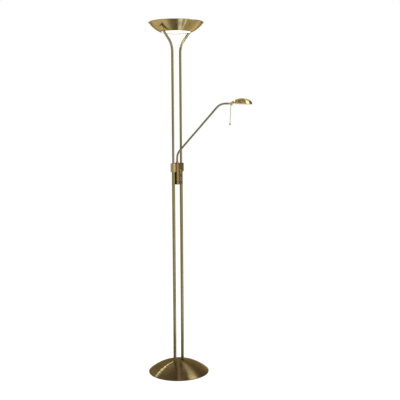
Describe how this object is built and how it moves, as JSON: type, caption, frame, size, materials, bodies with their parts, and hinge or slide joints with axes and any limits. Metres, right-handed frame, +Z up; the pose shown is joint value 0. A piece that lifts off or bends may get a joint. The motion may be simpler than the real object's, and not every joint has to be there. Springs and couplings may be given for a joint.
{
  "type": "floor lamp",
  "caption": "Tall floor lamp with two stems from a domed base, an uplighter bowl, a dimmer box on a clamp and a swinging reading arm with a small dome head and a handle rod.",
  "frame": {"origin": "centre of the underside of the base, on the floor", "axes": "+Z up, the two stems in the XZ plane, the dimmer knobs face -Y"},
  "size_m": [0.3974, 0.4791, 1.8],
  "materials": {
    "felt": "flat felt",
    "iron": "rough cast, painted",
    "antique_brass": "antique brass plate, spun or drawn, lacquered",
    "dark_brass": "dark antique brass plate, lacquered",
    "bright_brass": "antique brass plate, polished",
    "steel": "zinc plated",
    "black_plastic": "moulded, satin",
    "dimmer_body": "moulded",
    "board": "laminate",
    "ceramic": "fired ceramic",
    "frosted_glass": "frosted",
    "quartz": "clear quartz"
  },
  "bodies": {
    "stand": {"base_pad": "felt", "base_weight": "iron", "base_shell": "dark_brass", "cord_inlet": "black_plastic", "stem_bolts": "steel", "stem_washers": "steel", "stem_plugs": "steel", "left_lower_tube": "antique_brass", "right_lower_tube": "antique_brass", "left_upper_tube": "antique_brass", "right_upper_tube": "antique_brass", "clamp_block": "antique_brass", "grub_screws": "steel", "dimmer_case": "black_plastic", "dimmer_cover": "antique_brass", "dimmer_board": "board", "upper_dimmer": "dimmer_body", "lower_dimmer": "dimmer_body", "case_screws": "steel", "cover_screws": "steel", "arm_bush": "bright_brass", "bowl": "antique_brass", "bowl_glass": "frosted_glass", "glass_clips": "steel", "lamp_bracket": "steel", "left_holder": "ceramic", "right_holder": "ceramic", "halogen_tube": "quartz", "left_ferrule": "antique_brass", "right_ferrule": "antique_brass", "bowl_studs": "steel", "bowl_nuts": "steel"},
    "arm": {"arm_collar": "antique_brass", "arm_tube": "dark_brass", "arm_clip": "steel"},
    "joint": {"knuckle": "antique_brass"},
    "head": {"head_yoke": "bright_brass", "tilt_screw": "antique_brass", "tilt_nut": "antique_brass", "head_shade": "bright_brass", "head_nipple": "steel", "head_holder": "ceramic", "head_bulb": "frosted_glass", "head_lens": "frosted_glass", "head_ring": "steel", "handle_rod": "bright_brass", "handle_ball": "antique_brass"},
    "high_control": {"upper_knob": "bright_brass", "upper_shaft": "steel"},
    "low_control": {"lower_knob": "bright_brass", "lower_shaft": "steel"}
  },
  "joints": [
    {"name": "arm_swivel", "type": "hinge", "parent": "stand", "child": "arm", "pos_m": [0, 0, 1.095], "axis": [0, 0, 1], "range_deg": [-100, 30]},
    {"name": "head_twist", "type": "hinge", "parent": "arm", "child": "joint", "pos_m": [0.15026, -0.21459, 1.395], "axis": [0.5736, -0.8192, 0], "range_deg": [-90, 90]},
    {"name": "head_tilt", "type": "hinge", "parent": "joint", "child": "head", "pos_m": [0.15599, -0.22278, 1.395], "axis": [0.8192, 0.5736, 0], "range_deg": [-45, 45]},
    {"name": "upper_knob_turn", "type": "hinge", "parent": "stand", "child": "high_control", "pos_m": [0, -0.0196, 1.052], "axis": [0, -1, 0], "range_deg": [-140, 140]},
    {"name": "lower_knob_turn", "type": "hinge", "parent": "stand", "child": "low_control", "pos_m": [0, -0.0196, 1.0155], "axis": [0, -1, 0], "range_deg": [-140, 140]}
  ]
}
